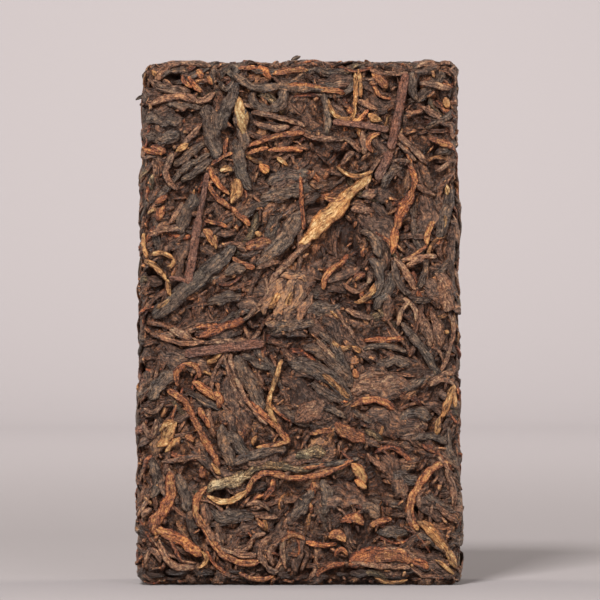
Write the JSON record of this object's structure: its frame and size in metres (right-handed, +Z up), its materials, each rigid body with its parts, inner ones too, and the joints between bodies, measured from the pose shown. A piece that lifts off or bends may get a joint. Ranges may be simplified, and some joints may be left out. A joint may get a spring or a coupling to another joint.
{
  "type": "pu erh tea brick",
  "caption": "Flat rectangular brick of pressed dark tea standing on one short end, its faces rough with flattened, curled leaves, stalks and golden buds",
  "frame": {"origin": "middle of the level short end that the brick stands on", "axes": "Z up along the brick's longest side, Y through its thickness with the face of the brick towards -Y, X across its width"},
  "size_m": [0.0625, 0.0187, 0.1009],
  "materials": {
    "pressed_tea": "dry, dark brown leaves with rust and golden ones among them, a soft sheen on the rolled ones"
  },
  "bodies": {
    "root": {"tea_brick": "pressed_tea"}
  },
  "joints": []
}
